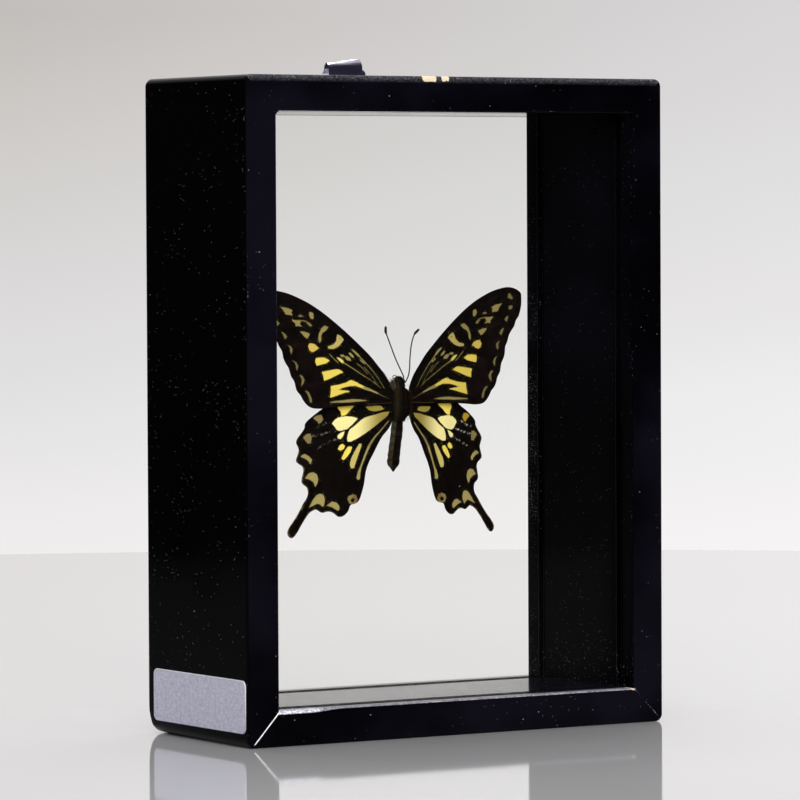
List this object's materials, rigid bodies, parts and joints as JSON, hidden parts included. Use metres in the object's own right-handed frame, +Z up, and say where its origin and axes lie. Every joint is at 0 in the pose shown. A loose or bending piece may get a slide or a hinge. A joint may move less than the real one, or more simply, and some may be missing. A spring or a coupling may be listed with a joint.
{
  "type": "framed butterfly specimen",
  "caption": "Swallowtail butterfly floating between glass panes in a deep black lacquered shadow-box frame, with a bare side plate and a bent hanging strip on the back.",
  "frame": {"origin": "centre of the frame's foot: half way along its width and depth, on the surface it stands on", "axes": "+Z up, +X to the right as seen from the front, front of the frame towards -Y"},
  "size_m": [0.1504, 0.0647, 0.2071],
  "materials": {
    "lacquered_wood": "black satin-gloss lacquer with dust specks and worn edges",
    "pane_glass": "clear polished",
    "plate_foil": "brushed satin foil, bare",
    "hanger_steel": "shiny sheet",
    "screw_steel": "plain",
    "wing_scales": "black-brown scales with pale yellow marks",
    "body_fur": "short black fur with olive-grey stripes",
    "dark_chitin": "dark horn",
    "clear_post": "clear"
  },
  "bodies": {
    "root": {"rail_bottom": "lacquered_wood", "rail_top": "lacquered_wood", "rail_left": "lacquered_wood", "rail_right": "lacquered_wood", "glass_front": "pane_glass", "glass_back": "pane_glass", "label_plate": "plate_foil", "hanger_strip": "hanger_steel", "hanger_screw_left": "screw_steel", "hanger_screw_right": "screw_steel", "forewing_right": "wing_scales", "hindwing_right": "wing_scales", "forewing_left": "wing_scales", "hindwing_left": "wing_scales", "body": "body_fur", "antenna_left": "dark_chitin", "antenna_right": "dark_chitin", "proboscis": "dark_chitin", "leg_front_right": "dark_chitin", "leg_front_left": "dark_chitin", "leg_middle_right": "dark_chitin", "leg_middle_left": "dark_chitin", "leg_hind_right": "dark_chitin", "leg_hind_left": "dark_chitin", "specimen_post": "clear_post"}
  },
  "joints": []
}
